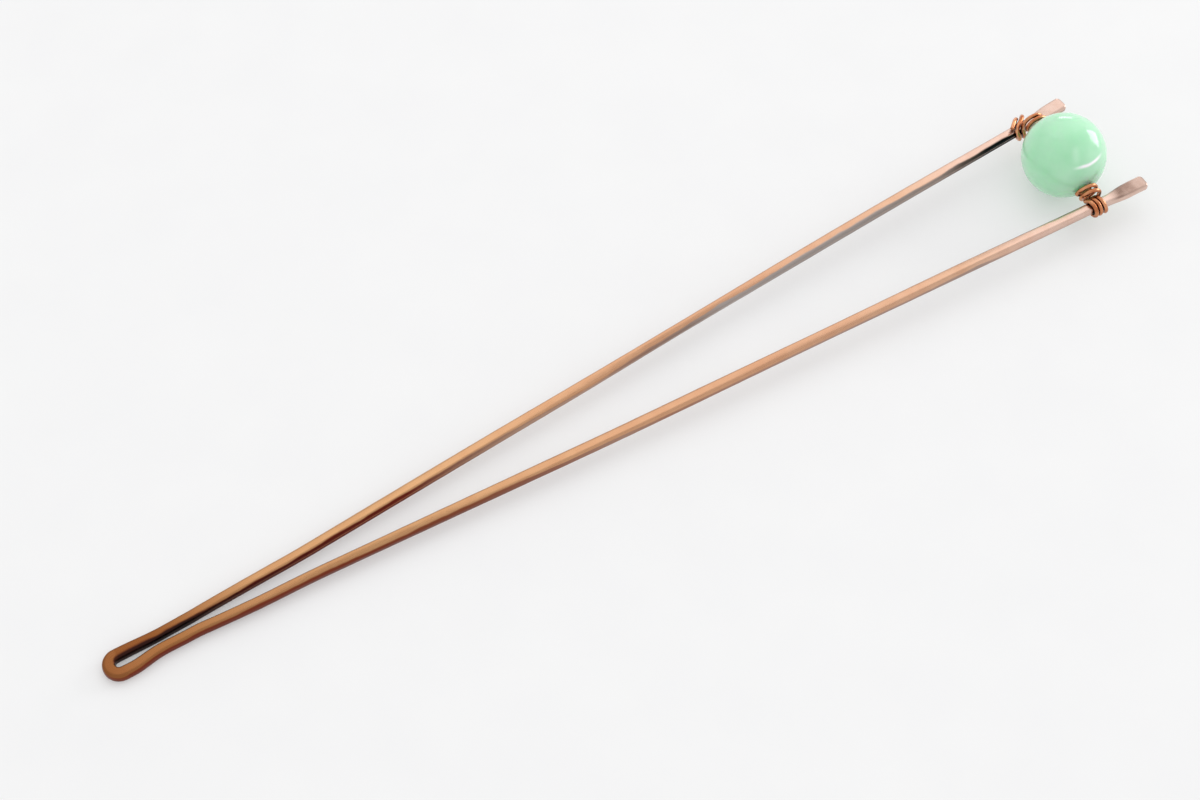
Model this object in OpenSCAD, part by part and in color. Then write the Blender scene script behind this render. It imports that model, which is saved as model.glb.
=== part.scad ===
// Two-pronged hair stick: one thick copper wire folded in two, with a drilled stone bead
// wired between its ends by one length of thin copper wire.
// It lies as on a table: +X runs from the fold to the tips, +Z is up, and the origin is on
// the table under the middle of the stick.

/* [Shaft] */
// Distance from the outside of the fold to the bead's axis
fold_to_bead = 151; // [90:1:200]
// How far the left tip, on the +Y side, reaches past the bead's axis
left_tip = 6.9; // [5:0.1:12]
// How far the right tip, on the -Y side, reaches past the bead's axis
right_tip = 7.7; // [5:0.1:12]
// Width of the forged wire, in the plane of the legs
wire_w = 1.55; // [1.2:0.05:2.2]
// Thickness of the forged wire, across the plane of the legs
wire_t = 1.5; // [1.2:0.05:2.2]
// Width of the forged wire at the fold
fold_w = 1.75; // [1.2:0.05:2.4]
// Clear width of the small eye inside the fold
eye_w = 1; // [0.4:0.1:3]
// Distance from the outside of the fold to where the eye has closed
eye_length = 9; // [5:0.5:20]
// Distance from the outside of the fold to where the legs start to spread
pinch_at = 13; // [8:1:25]
// Clear gap between the legs from the eye to where they start to spread
pinch_gap = 0.5; // [0.05:0.01:1]
// Outward bow of the left leg, as a share of its spread
left_bow = 0.06; // [0:0.01:0.15]
// Outward bow of the right leg, as a share of its spread
right_bow = 0.02; // [0:0.01:0.15]
// Width of the hammered tips
tip_w = 2.3; // [1.6:0.1:4]
// Thickness of the hammered tips
tip_t = 1.1; // [0.6:0.05:1.5]
// Corner radius of the hammered tips
tip_corner = 0.5; // [0.1:0.05:0.7]

/* [Bead] */
// Diameter of the bead
bead_d = 12; // [9:0.5:18]
// Clearance all round the thin wire in the bead's hole
hole_play = 0.17; // [0.16:0.01:0.5]
// Slope of the bead's hole, its left end higher, in degrees
bead_tilt = 7; // [0:1:8]

/* [Wrap wire] */
// Diameter of the thin wire
thin_d = 0.65; // [0.5:0.01:0.8]
// Clearance between the thin wire and whatever it is wound round or against
wrap_play = 0.03; // [0.02:0.01:0.1]
// Radius of the neck coil beside the bead, to the middle of the wire
neck_r_bead = 1.5; // [1.4:0.01:2.2]
// Radius of the neck coil beside the leg, to the middle of the wire
neck_r_leg = 1.25; // [1.15:0.01:1.5]
// Clear gap between the turns of a neck coil
neck_gap = 0.13; // [0.1:0.01:0.2]
// How far the neck coils hang below the hole's ends, in degrees about the bead's middle
neck_hang = 4; // [0:1:7]
// How far the right neck coil leans towards the fold, in degrees about the bead's middle
right_lean = 5; // [0:1:6]
// Clear gap between the left neck coil and its leg
left_gap = 0.55; // [0.03:0.01:0.8]
// Clear gap between the right neck coil and its leg
right_gap = 0.25; // [0.1:0.01:0.8]
// How far the legs hang below the bead's axis
neck_drop = 1.95; // [1.7:0.05:2.6]

/* [Hidden] */

LEFT = 1;
RIGHT = -1;

// Every table is read against its first column
FIRST = 0;

// Sideways wander of each leg: the columns are the station along the shaft, as a share of
// fold_to_bead, and the shift towards the left, as a share of wire_w; both start alike, at
// the fold
WANDER = 1;
LEFT_COURSE = [
    [0.000, -0.18],
    [0.015, -0.18],
    [0.027, -0.16],
    [0.066, -0.04],
    [0.086, 0.01],
    [0.106, -0.01],
    [0.146, -0.12],
    [0.185, -0.25],
    [0.210, -0.28],
    [0.390, -0.28],
    [0.490, -0.29],
    [0.620, -0.17],
    [0.830, -0.02],
    [1.000, 0.00],
    [1.040, 0.10]
];
RIGHT_COURSE = [
    [0.000, -0.18],
    [0.015, -0.18],
    [0.027, -0.21],
    [0.046, -0.08],
    [0.070, -0.12],
    [0.086, -0.12],
    [0.106, -0.16],
    [0.126, -0.18],
    [0.146, -0.17],
    [0.185, -0.06],
    [0.210, -0.04],
    [0.390, -0.11],
    [0.490, -0.15],
    [0.620, -0.07],
    [0.830, 0.02],
    [1.000, 0.00],
    [1.040, 0.10]
];

// The hammer's work on each leg: station as above, width and thickness as shares of wire_w
// and wire_t, and the turn of the flats in degrees
WIDTH = 1;
THICK = 2;
TURN = 3;
LEFT_FORGING = [
    [0.00, 1.00, 1.00, 0],
    [0.10, 0.96, 1.00, 0],
    [0.30, 1.02, 0.98, -10],
    [0.45, 1.03, 1.00, 6],
    [0.60, 0.98, 1.04, 20],
    [0.75, 1.03, 0.97, 4],
    [0.90, 1.00, 0.96, 0],
    [0.96, 0.94, 0.96, 0],
    [1.04, 0.94, 0.96, 0]
];
RIGHT_FORGING = [
    [0.00, 1.00, 1.00, 0],
    [0.10, 0.96, 1.00, 0],
    [0.25, 1.00, 1.02, 12],
    [0.50, 1.04, 0.98, -6],
    [0.70, 1.00, 1.03, 10],
    [0.88, 1.04, 0.98, -14],
    [0.96, 0.96, 0.96, 0],
    [1.04, 0.94, 0.96, 0]
];

// The thin wire round each leg: the angle round the leg from its inner side, downwards, the
// place along the leg from the bead's axis, in wire pitches, and how far it stands off the
// leg, in wire diameters; the left wraps are loose and run back towards the fold
ALONG = 1;
LIFT = 2;
LEFT_WRAP = [
    [-30, -1.90, 0.05],
    [0, -1.75, 0.05],
    [90, -0.90, 0.10],
    [135, -0.30, 0.15],
    [180, 0.30, 0.20],
    [225, 0.00, 0.35],
    [255, -1.05, 0.40],
    [285, -2.90, 0.35],
    [315, -3.45, 0.20],
    [360, -3.05, 0.10],
    [405, -2.55, 0.06],
    [450, -2.15, 0.05],
    [500, -1.75, 0.10],
    [540, -1.40, 0.20],
    [580, -1.50, 0.45],
    [610, -2.75, 0.65],
    [640, -4.30, 0.55]
];
RIGHT_WRAP = [
    [45, 0.95, 0.10],
    [90, 0.75, 0.05],
    [180, 0.20, 0],
    [270, -0.25, 0],
    [450, -0.75, 0],
    [630, -1.27, 0],
    [810, -1.79, 0],
    [1060, -2.52, 0]
];

SHAFT_SIDES = 12;
THIN_SIDES = 8;
BEAD_SIDES = 96;
HOLE_SIDES = 48;
SQUARENESS = 3;          // exponent of the forged section: 2 is an ellipse, more is squarer
RING_STEP = 3.5;         // spacing of the sections along the legs
BEND_STEPS = 12;         // sections round the fold
DIR_STEP = 0.05;         // half the length over which the legs' direction is measured
TIP_STEPS = 8;           // sections along each hammered tip
TIP_START = 0.12;        // share of a tip's length before it widens
TIP_FULL = 0.6;          // share of a tip's length by which it has its full width
CORNER_STEPS = 4;        // sections round a tip's corner
CORNER_THIN = 0.6;       // how much of a corner's cut the tip's thickness takes
BEAD_SHARE = 0.96;       // the forging's largest share of width and thickness at the bead
COIL_STEP = 20;          // degrees between the sections of the thin wire
NECK_TURN = 540;         // degrees of neck coil on each side of the bead
NECK_LOW = 270;          // degrees of it up to its lowest point beside the leg
NECK_EXIT = 180;         // where it leaves: on the left towards the fold, on the right mirrored
NECK_FLARE = 0.35;       // how far it widens before it leaves, in wire diameters
FLARE_TURN = 90;         // degrees over which it widens
HOLE_BEND = 0.72;        // bend of the wire out of the bead's hole, in wire diameters
HOLE_DEPTH = 1.03;       // how deep that bend starts, in bend radii
HOLE_STEP = 15;          // degrees between the sections round that bend
LINK_STEPS = 6;          // sections along each stretch that links two coils
LINK_REACH = 0.45;       // how far such a stretch runs straight on, as a share of its length

coil_pitch = thin_d + wrap_play;
bead_r = bead_d / 2;

// Heights and the slope of the shaft from the table at the fold up to the bead
fold_z = wire_t / 2;
leg_z = bead_r - neck_drop;
shaft_slope = (leg_z - fold_z) / (fold_to_bead - fold_w / 2);
shaft_up = [-shaft_slope, 0, 1] / norm([-shaft_slope, 0, 1]);

// Neck coils: the first turn lies on the bead, and a flat swirl leads to it from the hole
over_bead = bead_r + thin_d / 2 + wrap_play;
hole_bend = HOLE_BEND * thin_d;
neck_first = sqrt(pow(over_bead, 2) - pow(neck_r_bead, 2));
neck_pitch = thin_d + neck_gap;
swirl_r = (pow(neck_r_bead, 2) - pow(hole_bend, 2)) / (2 * neck_r_bead);
swirl_turn = atan2(swirl_r, hole_bend);

// Wraps round the legs, and how far out from the bead's middle each leg lies: the left one
// past the lowest part of its neck coil, the right one past the end of its coil
leg_reach = section_reach(BEAD_SHARE * wire_w, BEAD_SHARE * wire_t);
wrap_r = leg_reach + wrap_play + thin_d / 2;
left_out = neck_point(LEFT, NECK_LOW).y + thin_d / 2 + left_gap + wire_w / 2;
right_out = neck_point(RIGHT, NECK_TURN).y + thin_d / 2 + right_gap + wire_w / 2;
half_spread = (left_out + right_out) / 2;
bead_y = (right_out - left_out) / 2;

bend_r = (eye_w + fold_w) / 2;
bend_x = fold_w / 2 + bend_r;
pinch_half = (wire_w + pinch_gap) / 2;
middle_x = (fold_to_bead + max(left_tip, right_tip)) / 2;

function clamp(t) = min(1, max(0, t));
function ease(t) = clamp(t) * clamp(t) * (3 - 2 * clamp(t));
function unit(v) = v / norm(v);

// Smooth curve through one column of a table
function row_before(table, x) =
    min(len(table) - 2, max(0, len([for (row = table) if (row[FIRST] <= x) 1]) - 1));
function slope_at(table, col, i) =
    let (a = table[max(0, i - 1)], b = table[min(len(table) - 1, i + 1)])
    (b[col] - a[col]) / (b[FIRST] - a[FIRST]);
function read(table, col, x) =
    let (
        i = row_before(table, x),
        span = table[i + 1][FIRST] - table[i][FIRST],
        t = clamp((x - table[i][FIRST]) / span),
        from = table[i][col],
        to = table[i + 1][col],
        out = slope_at(table, col, i) * span,
        in = slope_at(table, col, i + 1) * span
    )
    from * (2 * t * t * t - 3 * t * t + 1) + out * (t * t * t - 2 * t * t + t)
    + to * (3 * t * t - 2 * t * t * t) + in * (t * t * t - t * t);

// Forged section: a square with rounded corners whose flats lie at half the width and
// half the thickness
function section_corner(a) = pow(abs(cos(a)), 2 / SQUARENESS) * sign(cos(a));
function section_point(w, t, a) =
    [w / 2 * section_corner(a), t / 2 * section_corner(a - 90)]
    / pow(cos(180 / SHAFT_SIDES), 2 / SQUARENESS);
function section_angle(k) = (k + 0.5) * 360 / SHAFT_SIDES;
function section(w, t, turn) =
    [for (k = [0:SHAFT_SIDES - 1])
        let (p = section_point(w, t, section_angle(k)))
        [p.x * cos(turn) - p.y * sin(turn), p.x * sin(turn) + p.y * cos(turn)]];
function section_reach(w, t) = max([for (p = section(w, t, 0)) norm(p)]);

// Middle line of a leg at x, measured from the outside of the fold
function leg_spread(side, x) =
    let (
        bow = side == LEFT ? left_bow : right_bow,
        q = clamp((x - pinch_at) / (fold_to_bead - pinch_at)),
        past = max(0, x - fold_to_bead) / (fold_to_bead - pinch_at)
    )
    q + bow * 4 * q * (1 - q) + (1 - 4 * bow) * past;
function leg_eye(x) = 1 - ease((x - bend_x) / (eye_length - bend_x));
function leg_half(side, x) =
    pinch_half + leg_eye(x) * (bend_r - pinch_half)
    + leg_spread(side, x) * (half_spread - pinch_half);
function course(side) = side == LEFT ? LEFT_COURSE : RIGHT_COURSE;
function wander(side, x) = wire_w * read(course(side), WANDER, x / fold_to_bead);
function shaft_z(x) = fold_z + shaft_slope * (x - fold_w / 2);
function leg_point(side, x) = [x, side * leg_half(side, x) + wander(side, x), shaft_z(x)];

// Stations of the sections along a leg, and the size of each section there
function tip_length(side) = side == LEFT ? left_tip : right_tip;
function tip_end(side) = fold_to_bead + tip_length(side);
function tip_start(side) = fold_to_bead + tip_length(side) * TIP_START;
function tip_full(side) = fold_to_bead + tip_length(side) * TIP_FULL;
function leg_stations(side) =
    let (
        first = bend_x,
        last = tip_start(side),
        n = ceil((last - first) / RING_STEP),
        end = tip_end(side),
        corner = end - tip_corner
    )
    concat(
        [for (i = [1:n]) first + (last - first) * i / n],
        [for (i = [1:TIP_STEPS]) last + (corner - last) * i / TIP_STEPS],
        [for (i = [1:CORNER_STEPS]) corner + tip_corner * sin(90 * i / CORNER_STEPS)]
    );
function forging(side) = side == LEFT ? LEFT_FORGING : RIGHT_FORGING;
function tip_flare(side, x) = ease((x - tip_start(side)) / (tip_full(side) - tip_start(side)));
function corner_cut(side, x) =
    let (u = clamp((x - tip_end(side) + tip_corner) / tip_corner))
    tip_corner * (1 - sqrt(1 - u * u));
function leg_section(side, x) =
    let (
        table = forging(side),
        s = x / fold_to_bead,
        flare = tip_flare(side, x),
        cut = corner_cut(side, x),
        leg_w = wire_w * read(table, WIDTH, s) + (fold_w - wire_w) * leg_eye(x),
        w = leg_w * (1 - flare) + tip_w * flare,
        t = wire_t * read(table, THICK, s) * (1 - flare) + tip_t * flare
    )
    section(w - 2 * cut, t - CORNER_THIN * cut, side * read(table, TURN, s));

// A section set across the path at point p, which heads along dir
function placed(points, p, dir) =
    let (across = unit(cross(shaft_up, dir)), up = cross(dir, across))
    [for (q = points) p + q.x * across + q.y * up];
function leg_ring(side, x) =
    let (dir = unit(leg_point(side, x + DIR_STEP) - leg_point(side, x - DIR_STEP)))
    placed(leg_section(side, x), leg_point(side, x), dir * side);
function bend_ring(a) =
    let (x = bend_x - bend_r * cos(a), y = -bend_r * sin(a) + wander(LEFT, x))
    placed(section(fold_w, wire_t, 0), [x, y, shaft_z(x)],
        unit([-sin(a), cos(a), -shaft_slope * sin(a)]));

function reversed(list) = [for (i = [len(list) - 1:-1:0]) list[i]];

// Closed skin over a row of rings
function skin_faces(rings, sides) =
    concat(
        [[for (k = [0:sides - 1]) k]],
        [for (i = [0:rings - 2], k = [0:sides - 1])
            let (a = i * sides + k, b = i * sides + (k + 1) % sides)
            [b, a, a + sides]],
        [for (i = [0:rings - 2], k = [0:sides - 1])
            let (a = i * sides + k, b = i * sides + (k + 1) % sides)
            [b, a + sides, b + sides]],
        [[for (k = [sides - 1:-1:0]) (rings - 1) * sides + k]]
    );
module skin(rings) {
    sides = len(rings[0]);
    polyhedron(points = [for (ring = rings) each ring], faces = skin_faces(len(rings), sides));
}

// The thick wire: right tip, right leg, fold, left leg, left tip
module shaft() {
    right = [for (x = reversed(leg_stations(RIGHT))) leg_ring(RIGHT, x)];
    fold = [for (i = [0:BEND_STEPS]) bend_ring(90 - 180 * i / BEND_STEPS)];
    left = [for (x = leg_stations(LEFT)) leg_ring(LEFT, x)];
    color("#c07a50") translate([-middle_x, 0, 0]) skin(concat(right, fold, left));
}

module bead() {
    color("#a8e0ba", 0.9) translate([fold_to_bead - middle_x, bead_y, bead_r]) difference() {
        sphere(d = bead_d, $fn = BEAD_SIDES);
        rotate([90 + bead_tilt, 0, 0])
            cylinder(d = thin_d + 2 * hole_play, h = 2 * bead_d, center = true, $fn = HOLE_SIDES);
    }
}

// Path of the thin wire on one side, from the bead's middle outwards, as a list of points
// from the bead's middle: x along the shaft, y outwards along the hole, z up
function curve(a, b, c, d, t) =
    a * pow(1 - t, 3) + b * 3 * t * pow(1 - t, 2) + c * 3 * t * t * (1 - t) + d * pow(t, 3);
function link(a, a_dir, b, b_dir, t) =
    let (reach = LINK_REACH * norm(b - a))
    curve(a, a + reach * a_dir, b - reach * b_dir, b, t);

// Neck coil, the bend that brings the wire out of the hole, and the swirl between the two
function neck_radius(turned) =
    neck_r_bead + (neck_r_leg - neck_r_bead) * ease(turned / 360)
    + NECK_FLARE * thin_d * ease((turned - NECK_TURN + FLARE_TURN) / FLARE_TURN);
function neck_point(side, turned) =
    let (a = NECK_EXIT - NECK_TURN + turned, r = neck_radius(turned))
    tilted(side, 1, [side * r * cos(a), neck_first + neck_pitch * turned / 360, r * sin(a)]);
function around(side, a) = [side * cos(a), 0, sin(a)];
function on_bead(p) = [p.x, sqrt(over_bead * over_bead - p.x * p.x - p.z * p.z), p.z];
function hole_heading() = NECK_EXIT - NECK_TURN - swirl_turn;
function hole_exit(side, a) =
    tilted(side, 0, hole_bend * (1 - cos(a)) * around(side, hole_heading())
        + [0, over_bead - HOLE_DEPTH * hole_bend + hole_bend * sin(a), 0]);
function hole_to_neck(side, share) =
    let (turned = (90 + swirl_turn) * share)
    tilted(side, ease(share), on_bead(
        hole_bend * around(side, hole_heading()) + swirl_r * around(side, hole_heading() + 90)
        + swirl_r * around(side, hole_heading() - 90 + turned)));

// A point of the bead's own frame, turned by the hole's slope, and by a share of the neck's
// hang and lean
function tilted(side, share, p) =
    let (
        a = side * bead_tilt - share * neck_hang,
        b = side == LEFT ? 0 : share * right_lean,
        y = p.y * cos(a) - p.z * sin(a),
        z = p.z * cos(a) + p.y * sin(a)
    )
    [p.x * cos(b) - y * sin(b), y * cos(b) + p.x * sin(b), z];

// Wraps round a leg
function leg_from_bead(side, along) =
    let (p = leg_point(side, fold_to_bead + along))
    [along, side * (p.y - bead_y), p.z - bead_r];
function wrap_table(side) = side == LEFT ? LEFT_WRAP : RIGHT_WRAP;
function wrap_point(side, a) =
    let (
        table = wrap_table(side),
        along = coil_pitch * read(table, ALONG, a),
        r = wrap_r + thin_d * read(table, LIFT, a),
        c = leg_from_bead(side, along)
    )
    c + [0, -r * cos(a), -r * sin(a)];

function half_path(side) =
    let (
        table = wrap_table(side),
        wrap_start = table[0][FIRST],
        wrap_end = table[len(table) - 1][FIRST],
        leave = neck_point(side, NECK_TURN),
        land = wrap_point(side, wrap_start),
        leave_dir = unit(leave - neck_point(side, NECK_TURN - 1)),
        land_dir = unit(wrap_point(side, wrap_start + 1) - land)
    )
    concat(
        [[0, 0, 0]],
        [for (a = [0:HOLE_STEP:90]) hole_exit(side, a)],
        [for (i = [1:LINK_STEPS]) hole_to_neck(side, i / (LINK_STEPS + 1))],
        [for (a = [0:COIL_STEP:NECK_TURN]) neck_point(side, a)],
        [for (i = [1:LINK_STEPS])
            link(leave, leave_dir, land, land_dir, i / (LINK_STEPS + 1))],
        [for (a = [wrap_start:COIL_STEP:wrap_end]) wrap_point(side, a)]
    );
function wire_path() =
    concat(
        [for (p = reversed(half_path(RIGHT))) [p.x, bead_y - p.y, p.z]],
        [for (p = [for (i = [1:len(half_path(LEFT)) - 1]) half_path(LEFT)[i]])
            [p.x, bead_y + p.y, p.z]]
    );

// Rings of the thin wire: each one's axes are the last one's, turned as little as possible
function path_dir(path, i) =
    unit(path[min(len(path) - 1, i + 1)] - path[max(0, i - 1)]);
function carried(axis, dir) = unit(axis - (axis * dir) * dir);
function ring_axes(path) =
    [for (i = 0, axis = carried([0, 0, 1], path_dir(path, 0)); i < len(path);
        i = i + 1, axis = i < len(path) ? carried(axis, path_dir(path, i)) : axis) axis];
function tube_rings(path, r, sides) =
    let (axes = ring_axes(path))
    [for (i = [0:len(path) - 1])
        let (dir = path_dir(path, i), u = axes[i], v = cross(dir, u))
        [for (k = [0:sides - 1])
            path[i] + r * (cos(k * 360 / sides) * u + sin(k * 360 / sides) * v)]];

module wrap_wire() {
    color("#c8864a") translate([fold_to_bead - middle_x, 0, bead_r])
        skin(tube_rings(wire_path(), thin_d / 2, THIN_SIDES));
}

shaft();
bead();
wrap_wire();
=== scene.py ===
import bpy
import math
import bmesh
from mathutils import Vector, Matrix
from mathutils.bvhtree import BVHTree


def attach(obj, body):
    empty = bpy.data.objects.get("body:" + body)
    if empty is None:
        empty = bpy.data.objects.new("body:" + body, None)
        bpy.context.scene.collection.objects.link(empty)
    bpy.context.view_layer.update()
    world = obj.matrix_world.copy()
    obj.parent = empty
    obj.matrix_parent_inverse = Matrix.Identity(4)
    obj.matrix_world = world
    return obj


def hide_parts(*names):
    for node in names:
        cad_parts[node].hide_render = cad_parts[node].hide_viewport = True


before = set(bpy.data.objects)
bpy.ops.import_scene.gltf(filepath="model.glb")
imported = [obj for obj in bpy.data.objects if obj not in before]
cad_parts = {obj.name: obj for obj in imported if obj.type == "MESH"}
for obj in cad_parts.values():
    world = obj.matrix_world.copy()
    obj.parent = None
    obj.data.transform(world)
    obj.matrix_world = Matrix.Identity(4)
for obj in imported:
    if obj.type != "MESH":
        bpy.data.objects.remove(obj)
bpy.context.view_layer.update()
mm = 0.001

# The photograph's viewpoint, in metres and degrees
cameraView = {
    "place": (-0.115593, -0.175228, 0.297245),
    "azimuth": -32.102,
    "elevation": 54.766,
    "lensMm": 81.0,
    "sensorMm": 36.0,
    "clipStart": 0.01,
}

studio = {
    "floorSize": 3.0,
    "floorTones": [(0.0, "#C7C7C8"), (1.0, "#CCCCCC")],
    "mottleSize": 11.111,        # millimetres
    "roomGrey": "#F1F1F1",       # what the unlit side of the room sends back
    "roomStrength": 1.0,
    "floorGlow": 0.30,           # light that comes up through the floor, where 1 is white
    "exposure": 0.0,
}


# Adds one node. Each entry is a setting of the node, a value of a socket, or a node or socket to link to it
def addNode(tree, kind, entries=None):
    node = tree.nodes.new(kind)
    for name, value in (entries or {}).items():
        if isinstance(value, bpy.types.Node):
            value = value.outputs[0]
        if isinstance(value, bpy.types.NodeSocket):
            tree.links.new(value, node.inputs[name])
        elif isinstance(name, str) and hasattr(node, name):
            setattr(node, name, value)
        else:
            node.inputs[name].default_value = value
    return node


def newMaterial(name):
    material = bpy.data.materials.new(name)
    material.use_nodes = True
    material.node_tree.nodes.clear()
    return material


def linearColour(hexCode):
    channels = [int(hexCode[i:i + 2], 16) / 255 for i in (1, 3, 5)]
    return tuple(c / 12.92 if c <= 0.04045 else ((c + 0.055) / 1.055) ** 2.4 for c in channels) + (1.0,)


# Gives a colour ramp its rows of position and colour
def setStops(ramp, rows):
    for stop, (position, hexCode) in ((ramp.elements[0], rows[0]), (ramp.elements[1], rows[-1])):
        stop.position = position
        stop.color = linearColour(hexCode)
    for position, hexCode in rows[1:-1]:
        ramp.elements.new(position).color = linearColour(hexCode)


def addObject(name, data):
    item = bpy.data.objects.new(name, data)
    bpy.context.scene.collection.objects.link(item)
    return item


def makeCamera():
    data = bpy.data.cameras.new("photoCamera")
    data.lens = cameraView["lensMm"]
    data.sensor_width = cameraView["sensorMm"]
    data.clip_start = cameraView["clipStart"]
    camera = addObject("photoCamera", data)
    camera.location = cameraView["place"]
    camera.rotation_euler = (
        math.radians(90 - cameraView["elevation"]), 0, math.radians(cameraView["azimuth"]))
    bpy.context.scene.camera = camera


# Soft boxes: where each one hangs, where it points, its width and height in metres, and how bright
# its face is, where 1 is a white card in full light
softBoxes = {
    "ceilingBox": {
        "place": (0.45, 0.75, 1.15), "aim": (0.0, 0.0, 0.0), "size": (1.7, 1.3), "bright": 0.55},
    "rightWindow": {
        "place": (0.95, -0.05, 0.20), "aim": (0.07, 0.0, 0.02), "size": (0.42, 0.44), "bright": 5.2},
    "backWindow": {
        "place": (0.72, 0.80, 0.14), "aim": (0.07, 0.0, 0.01), "size": (0.30, 0.16), "bright": 3.4},
}


def makeLights():
    for name, box in softBoxes.items():
        data = bpy.data.lights.new(name, "AREA")
        data.shape = "RECTANGLE"
        data.size, data.size_y = box["size"]
        data.energy = box["bright"] * math.pi * box["size"][0] * box["size"][1]
        light = addObject(name, data)
        light.location = box["place"]
        heading = Vector(box["aim"]) - Vector(box["place"])
        light.rotation_euler = heading.to_track_quat("-Z", "Y").to_euler()
    world = bpy.data.worlds.new("room")
    world.use_nodes = True
    tree = world.node_tree
    tree.nodes.clear()
    room = addNode(tree, "ShaderNodeBackground", {
        "Color": linearColour(studio["roomGrey"]), "Strength": studio["roomStrength"]})
    addNode(tree, "ShaderNodeOutputWorld", {"Surface": room})
    bpy.context.scene.world = world
    bpy.context.scene.view_settings.view_transform = "Standard"
    bpy.context.scene.view_settings.exposure = studio["exposure"]


def opalAcrylicMaterial():
    # Opal acrylic sheet lit softly from below: pale, nearly shadowless, with a faint unevenness in its body
    material = newMaterial("opalAcrylic")
    tree = material.node_tree
    place = addNode(tree, "ShaderNodeTexCoord").outputs["Object"]
    mottle = addNode(tree, "ShaderNodeTexNoise", {
        "Vector": place, "Scale": 1 / (studio["mottleSize"] * mm), "Detail": 3.0})
    colour = addNode(tree, "ShaderNodeValToRGB", {"Fac": mottle})
    setStops(colour.color_ramp, studio["floorTones"])
    unevenness = addNode(tree, "ShaderNodeBump", {"Height": mottle, "Strength": 0.04, "Distance": 0.1 * mm})
    surface = addNode(tree, "ShaderNodeBsdfPrincipled", {
        "Base Color": colour, "Normal": unevenness, "Roughness": 0.85, "Specular IOR Level": 0.2,
        "Emission Color": linearColour("#FFFFFF"), "Emission Strength": studio["floorGlow"]})
    addNode(tree, "ShaderNodeOutputMaterial", {"Surface": surface})
    return material


def makeFloor():
    half = studio["floorSize"] / 2
    mesh = bpy.data.meshes.new("floor")
    mesh.from_pydata([(-half, -half, 0), (half, -half, 0), (half, half, 0), (-half, half, 0)],
                     [], [(0, 1, 2, 3)])
    mesh.materials.append(opalAcrylicMaterial())
    addObject("floor", mesh)


makeCamera()
makeLights()
makeFloor()
print("studio ready")

# The thick wire, all in millimetres. Each forging row is: station as a share of foldToBead, width and
# thickness as shares of the wire's, turn of the flats in degrees.
shaft = {
    "foldToBead": 151.0,
    "wireWidth": 1.55,
    "wireThickness": 1.5,
    "foldWidth": 1.75,            # the wire is flatter and wider at the fold
    "eyeWidth": 1.0,
    "eyeLength": 9.0,
    "pinchAt": 13.0,
    "pinchGap": 0.5,
    "halfSpread": 8.56523,        # half the distance between the legs at the bead
    "beadSideStep": 0.0965894,    # the bead lies this far left of the middle of the legs
    "legHeightAtBead": 4.05,
    "tipWidth": 2.3,
    "tipThickness": 1.1,
    "tipCorner": 0.5,
    "tipStart": 0.12,             # shares of a tip's length where it starts to widen and where it is full
    "tipFull": 0.6,
    "cornerThin": 0.6,
    "tipColourStart": 1.0,        # the painted dark reflection on the tip's top comes in this far past the bead's middle
    "tipColourReach": 2.5,
    "headingReach": 0.05,         # how far each way a leg is looked along for its heading
    "ringStep": 0.35,             # spacing of the sections along the legs
    "tipRings": 24,
    "cornerRings": 8,
    "foldRings": 48,
    "sides": 48,
    "edgeSharpness": 7.0,         # power of the forged section: 2 is an ellipse, more is squarer
    "bevel": 0.90,                # how far out the small flats on the four edges lie
    "hammerLength": 2.6,          # one hammer mark, along the wire
    "hammerDepth": 0.022,
    "hammerSeed": 4.0,
    "marksRound": 0.75,           # hammer marks across half the wire
    "marksRandomness": 0.85,
}
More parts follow.
